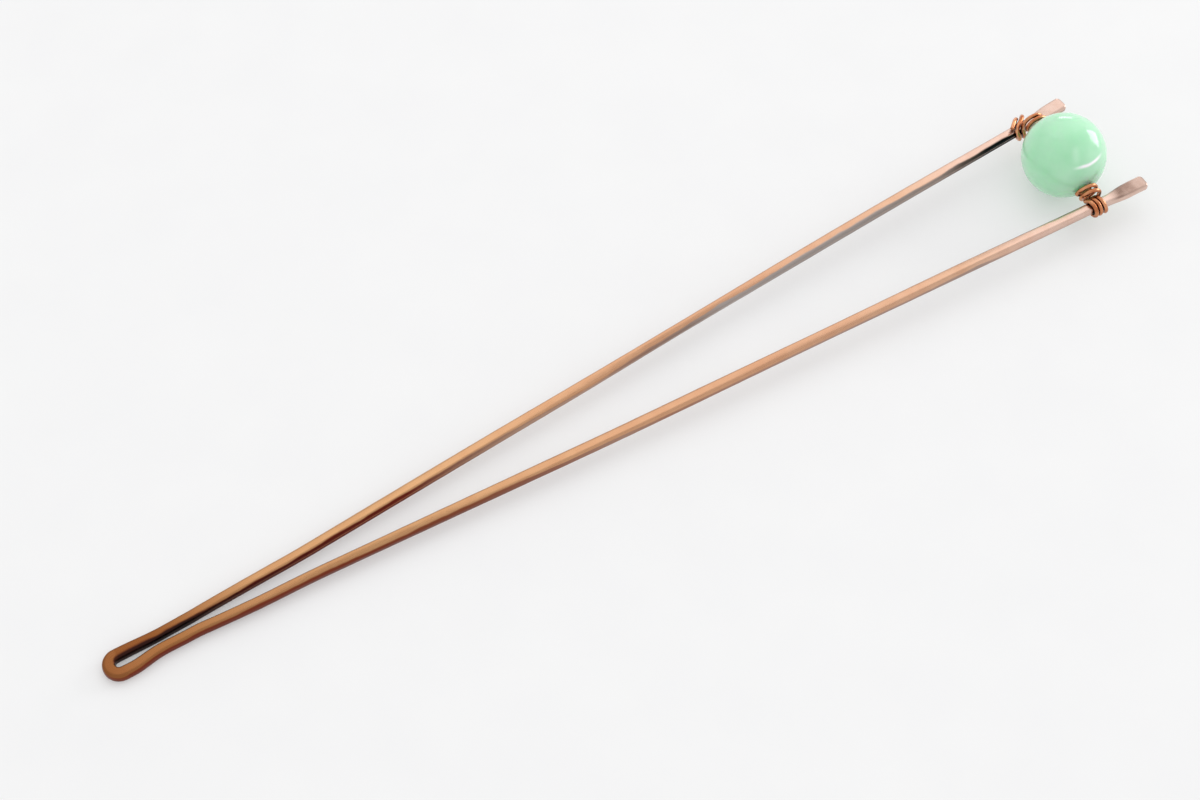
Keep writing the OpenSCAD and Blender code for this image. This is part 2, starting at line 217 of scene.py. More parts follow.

# The tip is how far a leg reaches past the bead's middle, and the course how many wire widths it strays.
# The outer and inner oxide-and-shade rows tell how much brown, grey and black lies on that side of a leg,
# partly oxide and partly painted shade and painted reflection, and how far up the side it reaches: 0 for
# the lower edge only, 1 for the whole side. The top rows tell how much brown darkens the top, and how much
# of the tip's top is darkened by a painted dark reflection.
legs = {
    "left": {
        "sign": 1, "tip": 6.9, "bow": 0.06,
        "course": [(0.000, -0.18), (0.015, -0.18), (0.027, -0.16), (0.066, -0.04), (0.086, 0.01),
                   (0.106, -0.01), (0.146, -0.12), (0.185, -0.25), (0.210, -0.28), (0.390, -0.28),
                   (0.490, -0.29), (0.620, -0.17), (0.830, -0.02), (1.000, 0.00), (1.040, 0.10)],
        "forging": [(0.00, 1.00, 1.00, 0), (0.10, 0.96, 1.00, 0), (0.30, 1.02, 0.98, -10),
                    (0.45, 1.03, 1.00, 6), (0.60, 0.98, 1.04, 20), (0.75, 1.03, 0.97, 4),
                    (0.90, 1.00, 0.96, 0), (0.96, 0.94, 0.96, 0), (1.04, 0.94, 0.96, 0)],
        "innerOxideAndShade": [(0.00, 0.6, 0.0, 0.8, 1.28), (0.08, 0.7, 0.0, 0.9, 1.20),
                       (0.13, 1.0, 0.0, 0.4, 1.08), (0.30, 1.0, 0.0, 0.1, 1.10),
                       (0.36, 0.6, 0.2, 0.1, 1.10), (0.42, 0.3, 0.35, 0.0, 1.00),
                       (0.50, 0.3, 0.3, 0.0, 0.70), (0.55, 0.4, 0.3, 0.2, 1.05),
                       (0.60, 0.2, 0.6, 0.3, 1.10), (0.64, 0.0, 0.9, 0.0, 1.20),
                       (0.80, 0.0, 0.9, 0.1, 1.20), (0.89, 0.0, 0.7, 0.3, 1.15),
                       (0.92, 0.0, 0.4, 0.8, 1.20), (0.95, 0.0, 0.1, 1.0, 1.20),
                       (0.99, 0.0, 0.1, 1.0, 1.15), (1.01, 0.1, 0.4, 0.3, 0.8),
                       (1.05, 0.1, 0.3, 0.0, 0.3)],
        "outerOxideAndShade": [(0.00, 0.6, 0.0, 0.0, 0.7), (0.20, 0.5, 0.0, 0.0, 0.6),
                       (0.50, 0.3, 0.2, 0.0, 0.5), (0.90, 0.1, 0.4, 0.1, 0.5),
                       (1.05, 0.0, 0.1, 0.0, 0.3)],
        "tipShade": [(1.00, 0.40), (1.02, 0.25), (1.045, 0.05)],
        "topBrown": [(0.00, 0.75), (0.05, 0.80), (0.10, 0.30), (0.15, 0.05), (0.30, 0.0)],
    },
    "right": {
        "sign": -1, "tip": 7.7, "bow": 0.02,
        "course": [(0.000, -0.18), (0.015, -0.18), (0.027, -0.21), (0.046, -0.08), (0.070, -0.12),
                   (0.086, -0.12), (0.106, -0.16), (0.126, -0.18), (0.146, -0.17), (0.185, -0.06),
                   (0.210, -0.04), (0.390, -0.11), (0.490, -0.15), (0.620, -0.07), (0.830, 0.02),
                   (1.000, 0.00), (1.040, 0.10)],
        "forging": [(0.00, 1.00, 1.00, 0), (0.10, 0.96, 1.00, 0), (0.25, 1.00, 1.02, 12),
                    (0.50, 1.04, 0.98, -6), (0.70, 1.00, 1.03, 10), (0.88, 1.04, 0.98, -14),
                    (0.96, 0.96, 0.96, 0), (1.04, 0.94, 0.96, 0)],
        "innerOxideAndShade": [(0.00, 0.6, 0.0, 0.6, 1.0), (0.10, 0.8, 0.0, 0.4, 0.9),
                       (0.30, 0.5, 0.0, 0.0, 0.6), (0.70, 0.2, 0.3, 0.0, 0.6),
                       (0.90, 0.0, 0.4, 0.6, 1.0), (1.00, 0.0, 0.2, 0.8, 1.1),
                       (1.05, 0.0, 0.1, 0.1, 0.6)],
        "outerOxideAndShade": [(0.00, 0.8, 0.0, 0.0, 0.95), (0.05, 0.9, 0.0, 0.1, 1.00),
                       (0.25, 0.9, 0.0, 0.1, 1.05), (0.34, 0.8, 0.0, 0.1, 1.05),
                       (0.42, 0.7, 0.1, 0.0, 0.90), (0.49, 0.4, 0.3, 0.0, 0.80),
                       (0.54, 0.5, 0.1, 0.0, 0.55), (0.62, 0.4, 0.2, 0.0, 0.50),
                       (0.80, 0.4, 0.4, 0.0, 0.35), (0.865, 0.3, 0.5, 0.1, 0.70),
                       (0.90, 0.2, 0.2, 0.0, 0.3), (1.05, 0.0, 0.0, 0.0, 0.0)],
        "tipShade": [(1.00, 1.0), (1.02, 0.95), (1.045, 0.45)],
        "topBrown": [(0.00, 0.35), (0.03, 0.25), (0.07, 0.32), (0.15, 0.30), (0.23, 0.22), (0.30, 0.18),
                     (0.40, 0.05), (0.50, 0.0)],
    },
}

shaft["foldHeight"] = shaft["wireThickness"] / 2
shaft["slope"] = ((shaft["legHeightAtBead"] - shaft["foldHeight"])
                  / (shaft["foldToBead"] - shaft["foldWidth"] / 2))
shaft["up"] = Vector((-shaft["slope"], 0, 1)).normalized()
shaft["bendRadius"] = (shaft["eyeWidth"] + shaft["foldWidth"]) / 2
shaft["bendX"] = shaft["foldWidth"] / 2 + shaft["bendRadius"]
shaft["pinchHalf"] = (shaft["wireWidth"] + shaft["pinchGap"]) / 2
shaft["middleX"] = (shaft["foldToBead"] + max(leg["tip"] for leg in legs.values())) / 2


def clampShare(t):
    return min(1.0, max(0.0, t))


def ease(t):
    t = clampShare(t)
    return t * t * (3 - 2 * t)


# Smooth curve through one column of a table, read against its first column
def readTable(table, column, x):
    before = [row for row in table if row[0] <= x]
    i = min(len(table) - 2, max(0, len(before) - 1))

    def slopeAt(j):
        a, b = table[max(0, j - 1)], table[min(len(table) - 1, j + 1)]
        return (b[column] - a[column]) / (b[0] - a[0])

    span = table[i + 1][0] - table[i][0]
    t = clampShare((x - table[i][0]) / span)
    start, end = table[i][column], table[i + 1][column]
    leaving, arriving = slopeAt(i) * span, slopeAt(i + 1) * span
    return (start * (2 * t ** 3 - 3 * t ** 2 + 1) + leaving * (t ** 3 - 2 * t ** 2 + t)
            + end * (3 * t ** 2 - 2 * t ** 3) + arriving * (t ** 3 - t ** 2))


# Straight lines between the rows of a table
def readStraight(table, column, x):
    if x <= table[0][0]:
        return table[0][column]
    for a, b in zip(table, table[1:]):
        if x <= b[0]:
            return a[column] + (b[column] - a[column]) * (x - a[0]) / (b[0] - a[0])
    return table[-1][column]


# Share of the full spread that a leg has reached x millimetres from the outside of the fold
def legSpread(leg, x):
    reach = shaft["foldToBead"] - shaft["pinchAt"]
    q = clampShare((x - shaft["pinchAt"]) / reach)
    past = max(0, x - shaft["foldToBead"]) / reach
    return q + leg["bow"] * 4 * q * (1 - q) + (1 - 4 * leg["bow"]) * past


# How far a leg strays to the left of its even course
def wander(leg, x):
    return shaft["wireWidth"] * readTable(leg["course"], 1, x / shaft["foldToBead"])


def shaftHeight(x):
    return shaft["foldHeight"] + shaft["slope"] * (x - shaft["foldWidth"] / 2)


# 1 where the eye is full, 0 past its end
def legEye(x):
    return 1 - ease((x - shaft["bendX"]) / (shaft["eyeLength"] - shaft["bendX"]))


# Middle line of a leg
def legPoint(leg, x):
    half = (shaft["pinchHalf"] + legEye(x) * (shaft["bendRadius"] - shaft["pinchHalf"])
            + legSpread(leg, x) * (shaft["halfSpread"] - shaft["pinchHalf"]))
    return Vector((x, leg["sign"] * half + wander(leg, x), shaftHeight(x)))


# Width and thickness of a leg's section, and the turn of its flats
def legSize(leg, x):
    station = x / shaft["foldToBead"]
    end = shaft["foldToBead"] + leg["tip"]
    start = shaft["foldToBead"] + leg["tip"] * shaft["tipStart"]
    full = shaft["foldToBead"] + leg["tip"] * shaft["tipFull"]
    flare = ease((x - start) / (full - start))
    corner = clampShare((x - end + shaft["tipCorner"]) / shaft["tipCorner"])
    cut = shaft["tipCorner"] * (1 - math.sqrt(1 - corner ** 2))
    legWidth = (shaft["wireWidth"] * readTable(leg["forging"], 1, station)
                + (shaft["foldWidth"] - shaft["wireWidth"]) * legEye(x))
    width = legWidth * (1 - flare) + shaft["tipWidth"] * flare - 2 * cut
    thickness = (shaft["wireThickness"] * readTable(leg["forging"], 2, station) * (1 - flare)
                 + shaft["tipThickness"] * flare - shaft["cornerThin"] * cut)
    return width, thickness, leg["sign"] * readTable(leg["forging"], 3, station)


def legStations(leg):
    first, end = shaft["bendX"], shaft["foldToBead"] + leg["tip"]
    last = shaft["foldToBead"] + leg["tip"] * shaft["tipStart"]
    corner = end - shaft["tipCorner"]
    n = math.ceil((last - first) / shaft["ringStep"])
    stations = [first + (last - first) * i / n for i in range(1, n + 1)]
    stations += [last + (corner - last) * i / shaft["tipRings"] for i in range(1, shaft["tipRings"] + 1)]
    stations += [corner + shaft["tipCorner"] * math.sin(math.pi / 2 * i / shaft["cornerRings"])
                 for i in range(1, shaft["cornerRings"] + 1)]
    return stations


# Oxide and painted shade round the fold: the rows run from its right end to its left end
foldOxideAndShade = {
    "innerOxideAndShade": (0.6, 0.0, 0.7),
    "outerOxideAndShade": (0.7, 0.0, 0.0),
    "innerRise": [(0.0, 0.80), (1.0, 1.25)],
    "outerRise": 0.9,
    "topBrown": [(0.0, 0.40), (1.0, 0.50)],
}


def legSection(leg, x):
    reach = shaft["headingReach"]
    ahead = (legPoint(leg, x + reach) - legPoint(leg, x - reach)).normalized() * leg["sign"]
    width, thickness, turn = legSize(leg, x)
    station = x / shaft["foldToBead"]
    past = x - shaft["foldToBead"] - shaft["tipColourStart"]
    return {"middle": legPoint(leg, x), "ahead": ahead, "width": width, "thickness": thickness,
            "turn": turn, "station": station, "tip": ease(past / shaft["tipColourReach"]),
            "innerOxideAndShade": [readStraight(leg["innerOxideAndShade"], c, station) for c in (1, 2, 3)],
            "outerOxideAndShade": [readStraight(leg["outerOxideAndShade"], c, station) for c in (1, 2, 3)],
            "innerRise": readStraight(leg["innerOxideAndShade"], 4, station),
            "outerRise": readStraight(leg["outerOxideAndShade"], 4, station),
            "tipShade": readStraight(leg["tipShade"], 1, station),
            "topBrown": readStraight(leg["topBrown"], 1, station)}


def foldSection(share):
    a = math.radians(90 - 180 * share)
    x = shaft["bendX"] - shaft["bendRadius"] * math.cos(a)
    y = -shaft["bendRadius"] * math.sin(a) + wander(legs["left"], x)
    ahead = Vector((-math.sin(a), math.cos(a), -shaft["slope"] * math.sin(a))).normalized()
    return {"middle": Vector((x, y, shaftHeight(x))), "ahead": ahead, "width": shaft["foldWidth"],
            "thickness": shaft["wireThickness"], "turn": 0, "station": x / shaft["foldToBead"],
            "tip": 0, "tipShade": 0,
            "innerOxideAndShade": foldOxideAndShade["innerOxideAndShade"], "outerOxideAndShade": foldOxideAndShade["outerOxideAndShade"],
            "innerRise": readStraight(foldOxideAndShade["innerRise"], 1, share),
            "outerRise": foldOxideAndShade["outerRise"],
            "topBrown": readStraight(foldOxideAndShade["topBrown"], 1, share)}


# The sections from the right tip round the fold to the left tip: middle, heading, size and oxide
def shaftSections():
    sections = [legSection(legs["right"], x) for x in reversed(legStations(legs["right"]))]
    sections += [foldSection(i / shaft["foldRings"]) for i in range(shaft["foldRings"] + 1)]
    sections += [legSection(legs["left"], x) for x in legStations(legs["left"])]
    return sections


# A path for a Geometry Nodes tree: a chain of points with named values on them
def pathObject(name, points, floats=None, vectors=None):
    mesh = bpy.data.meshes.new(name)
    mesh.from_pydata(points, [(i, i + 1) for i in range(len(points) - 1)], [])
    for key, values in (floats or {}).items():
        mesh.attributes.new(key, "FLOAT", "POINT").data.foreach_set("value", values)
    for key, values in (vectors or {}).items():
        flat = [c for v in values for c in v]
        mesh.attributes.new(key, "FLOAT_VECTOR", "POINT").data.foreach_set("vector", flat)
    return addObject(name, mesh)


def newTree(name, inputs):
    tree = bpy.data.node_groups.new(name, "GeometryNodeTree")
    tree.interface.new_socket("Geometry", in_out="INPUT", socket_type="NodeSocketGeometry")
    for label, kind in inputs:
        tree.interface.new_socket(label, in_out="INPUT", socket_type="NodeSocket" + kind)
    tree.interface.new_socket("Geometry", in_out="OUTPUT", socket_type="NodeSocketGeometry")
    return tree


# Runs a tree on an object and gives back the result as a plain mesh
def grown(path, tree, values, name):
    modifier = path.modifiers.new("growth", "NODES")
    modifier.node_group = tree
    sockets = {s.name: s.identifier for s in tree.interface.items_tree
               if s.item_type == "SOCKET" and s.in_out == "INPUT"}
    for label, value in values.items():
        modifier[sockets[label]] = value
    depsgraph = bpy.context.evaluated_depsgraph_get()
    mesh = bpy.data.meshes.new_from_object(path.evaluated_get(depsgraph))
    path.modifiers.remove(modifier)
    bpy.data.objects.remove(path)
    mesh.name = name
    return addObject(name, mesh)


# The last nodes of each tree
def finishTree(tree, geometry, material):
    real = addNode(tree, "GeometryNodeRealizeInstances", {"Geometry": geometry})
    finished = addNode(tree, "GeometryNodeSetMaterial", {"Geometry": real, "Material": material})
    addNode(tree, "NodeGroupOutput", {"Geometry": finished})
    return tree


# Swept bar with a forged section: flats at half the width and half the thickness, small flats on the
# four edges, and shallow dimples where the hammer fell
def forgedBarTree():
    tree = newTree("forgedBar", [
        ("Sides", "Int"), ("Edge sharpness", "Float"), ("Hammer length", "Float"),
        ("Hammer depth", "Float"), ("Seed", "Float"), ("Material", "Material")])
    inputs = addNode(tree, "NodeGroupInput")
    named = {}
    for label in ("sectionAngle", "turn", "along", "halfWidth", "halfThickness", "edgeReach"):
        named[label] = addNode(tree, "GeometryNodeInputNamedAttribute", {
            "data_type": "FLOAT", "Name": label})
    for label in ("across", "upward", "middle"):
        named[label] = addNode(tree, "GeometryNodeInputNamedAttribute", {
            "data_type": "FLOAT_VECTOR", "Name": label})

    rail = addNode(tree, "GeometryNodeMeshToCurve", {"Mesh": inputs.outputs["Geometry"]})
    circle = addNode(tree, "GeometryNodeCurvePrimitiveCircle", {
        "Radius": 1.0 * mm, "Resolution": inputs.outputs["Sides"]})
    split = addNode(tree, "ShaderNodeSeparateXYZ", {"Vector": addNode(tree, "GeometryNodeInputPosition")})
    angle = addNode(tree, "ShaderNodeMath", {
        "operation": "ARCTAN2", 0: split.outputs["Y"], 1: split.outputs["X"]})
    marked = addNode(tree, "GeometryNodeStoreNamedAttribute", {
        "data_type": "FLOAT", "domain": "POINT", "Geometry": circle,
        "Name": "sectionAngle", "Value": angle})
    bar = addNode(tree, "GeometryNodeCurveToMesh", {
        "Curve": rail, "Profile Curve": marked, "Fill Caps": True})

    # distance from the middle to the surface: the smooth least of what eight flats allow
    power = inputs.outputs["Edge sharpness"]
    around = addNode(tree, "ShaderNodeMath", {
        "operation": "SUBTRACT", 0: named["sectionAngle"], 1: named["turn"]})
    total = 0.0
    for direction, reach in ((0, "halfWidth"), (90, "halfThickness"),
                             (45, "edgeReach"), (135, "edgeReach")):
        facing = addNode(tree, "ShaderNodeMath", {
            "operation": "SUBTRACT", 0: around, 1: math.radians(direction)})
        toward = addNode(tree, "ShaderNodeMath", {"operation": "COSINE", 0: facing})
        size = addNode(tree, "ShaderNodeMath", {"operation": "ABSOLUTE", 0: toward})
        share = addNode(tree, "ShaderNodeMath", {"operation": "DIVIDE", 0: size, 1: named[reach]})
        term = addNode(tree, "ShaderNodeMath", {"operation": "POWER", 0: share, 1: power})
        total = addNode(tree, "ShaderNodeMath", {"operation": "ADD", 0: total, 1: term})
    root = addNode(tree, "ShaderNodeMath", {"operation": "DIVIDE", 0: -1.0, 1: power})
    radius = addNode(tree, "ShaderNodeMath", {"operation": "POWER", 0: total, 1: root})

    # hammer marks: cells along and round the wire, each one a shallow hollow
    cosine, sine = [addNode(tree, "ShaderNodeMath", {"operation": operation, 0: named["sectionAngle"]})
                    for operation in ("COSINE", "SINE")]
    cellX = addNode(tree, "ShaderNodeMath", {
        "operation": "DIVIDE", 0: named["along"], 1: inputs.outputs["Hammer length"]})
    cellY = addNode(tree, "ShaderNodeMath", {"operation": "MULTIPLY", 0: cosine, 1: shaft["marksRound"]})
    cellZ = addNode(tree, "ShaderNodeMath", {
        "operation": "MULTIPLY_ADD", 0: sine, 1: shaft["marksRound"], 2: inputs.outputs["Seed"]})
    cells = addNode(tree, "ShaderNodeCombineXYZ", {"X": cellX, "Y": cellY, "Z": cellZ})
    marks = addNode(tree, "ShaderNodeTexVoronoi", {
        "feature": "F1", "Vector": cells, "Scale": 1.0, "Randomness": shaft["marksRandomness"]})
    square = addNode(tree, "ShaderNodeMath", {"operation": "POWER", 0: marks.outputs["Distance"], 1: 2.0})
    capped = addNode(tree, "ShaderNodeMath", {"operation": "MINIMUM", 0: square, 1: 1.0})
    hollow = addNode(tree, "ShaderNodeMath", {"operation": "SUBTRACT", 0: 1.0, 1: capped})
    depth = addNode(tree, "ShaderNodeMath", {
        "operation": "MULTIPLY", 0: hollow, 1: inputs.outputs["Hammer depth"]})
    dented = addNode(tree, "ShaderNodeMath", {"operation": "SUBTRACT", 0: radius, 1: depth})

    sideways = addNode(tree, "ShaderNodeVectorMath", {
        "operation": "SCALE", 0: named["across"], "Scale": cosine})
    upwards = addNode(tree, "ShaderNodeVectorMath", {
        "operation": "SCALE", 0: named["upward"], "Scale": sine})
    heading = addNode(tree, "ShaderNodeVectorMath", {"operation": "ADD", 0: sideways, 1: upwards})
    outward = addNode(tree, "ShaderNodeVectorMath", {"operation": "SCALE", 0: heading, "Scale": dented})
    onSurface = addNode(tree, "ShaderNodeVectorMath", {"operation": "ADD", 0: named["middle"], 1: outward})
    shaped = addNode(tree, "GeometryNodeSetPosition", {"Geometry": bar, "Position": onSurface})
    return finishTree(tree, shaped, inputs.outputs["Material"])


def inPartFrame(p):
    return Vector((p.x - shaft["middleX"], p.y, p.z)) * mm


def makeShaft(material):
    sections = shaftSections()
    middles = [inPartFrame(s["middle"]) for s in sections]
    along = [0.0]
    for a, b in zip(middles, middles[1:]):
        along.append(along[-1] + (b - a).length)
    across = [shaft["up"].cross(s["ahead"]).normalized() for s in sections]
    floats = {label: [s[label] for s in sections]
              for label in ("station", "tip", "topBrown", "innerRise", "outerRise", "tipShade")}
    floats["along"] = along
    floats["turn"] = [math.radians(s["turn"]) for s in sections]
    floats["halfWidth"] = [s["width"] / 2 * mm for s in sections]
    floats["halfThickness"] = [s["thickness"] / 2 * mm for s in sections]
    floats["edgeReach"] = [shaft["bevel"] * math.hypot(s["width"], s["thickness"]) / 2 * mm
                           for s in sections]
    vectors = {label: [s[label] for s in sections] for label in ("innerOxideAndShade", "outerOxideAndShade")}
    vectors["across"] = across
    vectors["upward"] = [s["ahead"].cross(side) for s, side in zip(sections, across)]
    vectors["middle"] = middles
    return grown(pathObject("shaftPath", middles, floats, vectors), forgedBarTree(), {
        "Sides": shaft["sides"], "Edge sharpness": shaft["edgeSharpness"],
        "Hammer length": shaft["hammerLength"] * mm, "Hammer depth": shaft["hammerDepth"] * mm,
        "Seed": shaft["hammerSeed"], "Material": material}, "hammered_shaft")


# The thin wire, in millimetres and degrees. Each wrap row is: angle round the leg from its inner side
# downwards, place along the leg from the bead's middle in coil pitches, lift in wire diameters.
wrap = {
    "thinDiameter": 0.65,
    "play": 0.03,
    "neckRadiusAtBead": 1.5,
    "neckRadiusAtLeg": 1.25,
    "neckPitch": 0.78,
    "neckTurn": 540,
    "neckExit": 180,
    "neckFlare": 0.35,
    "flareTurn": 90,
    "neckHang": 4,                # how far both neck coils hang, about the bead's middle
    "rightLean": 5,               # how far the right one leans towards the fold
    "holeBend": 0.72,
    "holeDepth": 1.03,
    "linkReach": 0.45,
    "aroundLeg": 1.195966,        # from the leg's middle to the thin wire's
    "coilStep": 6,                # degrees between the points of the path
    "linkSteps": 16,
    "profileSides": 20,
    "ringSpacing": 0.09,
    "handDents": 0.05,            # soft flats that the pliers left
    "dentLength": 1.1111,         # the length of one of them
    "leftTurns": [(-30, -1.90, 0.05), (0, -1.75, 0.05), (90, -0.90, 0.10), (135, -0.30, 0.15),
                  (180, 0.30, 0.20), (225, 0.00, 0.35), (255, -1.05, 0.40), (285, -2.90, 0.35),
                  (315, -3.45, 0.20), (360, -3.05, 0.10), (405, -2.55, 0.06), (450, -2.15, 0.05),
                  (500, -1.75, 0.10), (540, -1.40, 0.20), (580, -1.50, 0.45), (610, -2.75, 0.65),
                  (640, -4.30, 0.55)],
    "rightTurns": [(45, 0.95, 0.10), (90, 0.75, 0.05), (180, 0.20, 0), (270, -0.25, 0), (450, -0.75, 0),
                   (630, -1.27, 0), (810, -1.79, 0), (1060, -2.52, 0)],
}

bead = {
    "diameter": 12.0,
    "holePlay": 0.17,
    "holeSlope": 7,               # its left end is higher, in degrees
    "holeChamfer": 0.16,
    "rings": 96,
    "segments": 128,
    "holeRings": 24,
}
bead["radius"] = bead["diameter"] / 2
bead["middle"] = Vector((shaft["foldToBead"], shaft["beadSideStep"], bead["radius"]))

wrap["overBead"] = bead["radius"] + wrap["thinDiameter"] / 2 + wrap["play"]
wrap["bendRadius"] = wrap["holeBend"] * wrap["thinDiameter"]
wrap["swirlRadius"] = ((wrap["neckRadiusAtBead"] ** 2 - wrap["bendRadius"] ** 2)
                       / (2 * wrap["neckRadiusAtBead"]))
wrap["swirlTurn"] = math.degrees(math.atan2(wrap["swirlRadius"], wrap["bendRadius"]))
wrap["neckFirst"] = math.sqrt(wrap["overBead"] ** 2 - wrap["neckRadiusAtBead"] ** 2)
wrap["coilPitch"] = wrap["thinDiameter"] + wrap["play"]
wrap["holeHeading"] = wrap["neckExit"] - wrap["neckTurn"] - wrap["swirlTurn"]


# Points of the thin wire from the bead's middle outwards: x along the shaft, y out along the hole, z up
def aroundHole(sign, degrees):
    a = math.radians(degrees)
    return Vector((sign * math.cos(a), 0, math.sin(a)))


# The bead's own frame turned by the hole's slope, and by a share of the neck's hang and lean
def tilted(sign, share, p):
    down = math.radians(sign * bead["holeSlope"] - share * wrap["neckHang"])
    back = math.radians(0 if sign > 0 else share * wrap["rightLean"])
    y = p.y * math.cos(down) - p.z * math.sin(down)
    z = p.z * math.cos(down) + p.y * math.sin(down)
    return Vector((p.x * math.cos(back) - y * math.sin(back), y * math.cos(back) + p.x * math.sin(back), z))


def neckPoint(sign, turned):
    radius = (wrap["neckRadiusAtBead"]
              + (wrap["neckRadiusAtLeg"] - wrap["neckRadiusAtBead"]) * ease(turned / 360)
              + wrap["neckFlare"] * wrap["thinDiameter"]
              * ease((turned - wrap["neckTurn"] + wrap["flareTurn"]) / wrap["flareTurn"]))
    p = aroundHole(sign, wrap["neckExit"] - wrap["neckTurn"] + turned) * radius
    p.y = wrap["neckFirst"] + wrap["neckPitch"] * turned / 360
    return tilted(sign, 1, p)


def holeExit(sign, degrees):
    a = math.radians(degrees)
    p = aroundHole(sign, wrap["holeHeading"]) * wrap["bendRadius"] * (1 - math.cos(a))
    p.y = wrap["overBead"] - wrap["holeDepth"] * wrap["bendRadius"] + wrap["bendRadius"] * math.sin(a)
    return tilted(sign, 0, p)


# Flat swirl on the bead, from the hole out to the first turn of the neck coil
def holeToNeck(sign, share):
    turned = (90 + wrap["swirlTurn"]) * share
    p = (aroundHole(sign, wrap["holeHeading"]) * wrap["bendRadius"]
         + aroundHole(sign, wrap["holeHeading"] + 90) * wrap["swirlRadius"]
         + aroundHole(sign, wrap["holeHeading"] - 90 + turned) * wrap["swirlRadius"])
    p.y = math.sqrt(wrap["overBead"] ** 2 - p.x ** 2 - p.z ** 2)
    return tilted(sign, ease(share), p)


def wrapPoint(leg, turns, degrees):
    place = wrap["coilPitch"] * readTable(turns, 1, degrees)
    radius = wrap["aroundLeg"] + wrap["thinDiameter"] * readTable(turns, 2, degrees)
    p = legPoint(leg, shaft["foldToBead"] + place)
    a = math.radians(degrees)
    return Vector((place, leg["sign"] * (p.y - shaft["beadSideStep"]) - radius * math.cos(a),
                   p.z - bead["radius"] - radius * math.sin(a)))


def linkCurve(a, aHeading, b, bHeading, t):
    reach = wrap["linkReach"] * (b - a).length
    c, d = a + aHeading * reach, b - bHeading * reach
    return a * (1 - t) ** 3 + c * 3 * t * (1 - t) ** 2 + d * 3 * t * t * (1 - t) + b * t ** 3


def steps(start, end, step):
    n = max(1, round((end - start) / step))
    return [start + (end - start) * i / n for i in range(n + 1)]


def halfWire(leg, turns):
    sign, last = leg["sign"], wrap["neckTurn"]
    leave = neckPoint(sign, last)
    leaveHeading = (leave - neckPoint(sign, last - 1)).normalized()
    land = wrapPoint(leg, turns, turns[0][0])
    landHeading = (wrapPoint(leg, turns, turns[0][0] + 1) - land).normalized()
    points = [Vector((0, 0, 0))]
    points += [holeExit(sign, a) for a in steps(0, 90, wrap["coilStep"])]
    points += [holeToNeck(sign, i / wrap["linkSteps"]) for i in range(1, wrap["linkSteps"])]
    points += [neckPoint(sign, a) for a in steps(0, last, wrap["coilStep"])]
    points += [linkCurve(leave, leaveHeading, land, landHeading, i / wrap["linkSteps"])
               for i in range(1, wrap["linkSteps"])]
    points += [wrapPoint(leg, turns, a) for a in steps(turns[0][0], turns[-1][0], wrap["coilStep"])]
    return [bead["middle"] + Vector((p.x, sign * p.y, p.z)) for p in points]


# Round drawn wire along a path, with soft flats where the pliers held it: they are a swelling below 0
def drawnWireTree():
    tree = newTree("drawnWire", [
        ("Radius", "Float"), ("Sides", "Int"), ("Ring spacing", "Float"), ("Swelling", "Float"),
        ("Dent length", "Float"), ("Material", "Material")])
    inputs = addNode(tree, "NodeGroupInput")
    rail = addNode(tree, "GeometryNodeMeshToCurve", {"Mesh": inputs.outputs["Geometry"]})
    even = addNode(tree, "GeometryNodeResampleCurve", {
        "mode": "LENGTH", "Curve": rail, "Length": inputs.outputs["Ring spacing"]})
    profile = addNode(tree, "GeometryNodeCurvePrimitiveCircle", {
        "Resolution": inputs.outputs["Sides"], "Radius": inputs.outputs["Radius"]})
    wire = addNode(tree, "GeometryNodeCurveToMesh", {
        "Curve": even, "Profile Curve": profile, "Fill Caps": True})
    scale = addNode(tree, "ShaderNodeMath", {
        "operation": "DIVIDE", 0: 1.0, 1: inputs.outputs["Dent length"]})
    dents = addNode(tree, "ShaderNodeTexNoise", {"Scale": scale, "Detail": 1.0})
    outward = addNode(tree, "ShaderNodeMath", {
        "operation": "MULTIPLY", 0: dents, 1: inputs.outputs["Swelling"]})
    normal = addNode(tree, "GeometryNodeInputNormal")
    push = addNode(tree, "ShaderNodeVectorMath", {"operation": "SCALE", 0: normal, "Scale": outward})
    pressed = addNode(tree, "GeometryNodeSetPosition", {"Geometry": wire, "Offset": push})
    return finishTree(tree, pressed, inputs.outputs["Material"])


def makeWrapWire(material):
    points = list(reversed(halfWire(legs["right"], wrap["rightTurns"])))
    points += halfWire(legs["left"], wrap["leftTurns"])[1:]
    path = pathObject("thinWirePath", [inPartFrame(p) for p in points])
    return grown(path, drawnWireTree(), {
        "Radius": wrap["thinDiameter"] / 2 * mm, "Sides": wrap["profileSides"],
        "Ring spacing": wrap["ringSpacing"] * mm, "Swelling": -wrap["handDents"] * mm,
        "Dent length": wrap["dentLength"] * mm, "Material": material}, "wrapped_thin_wire")


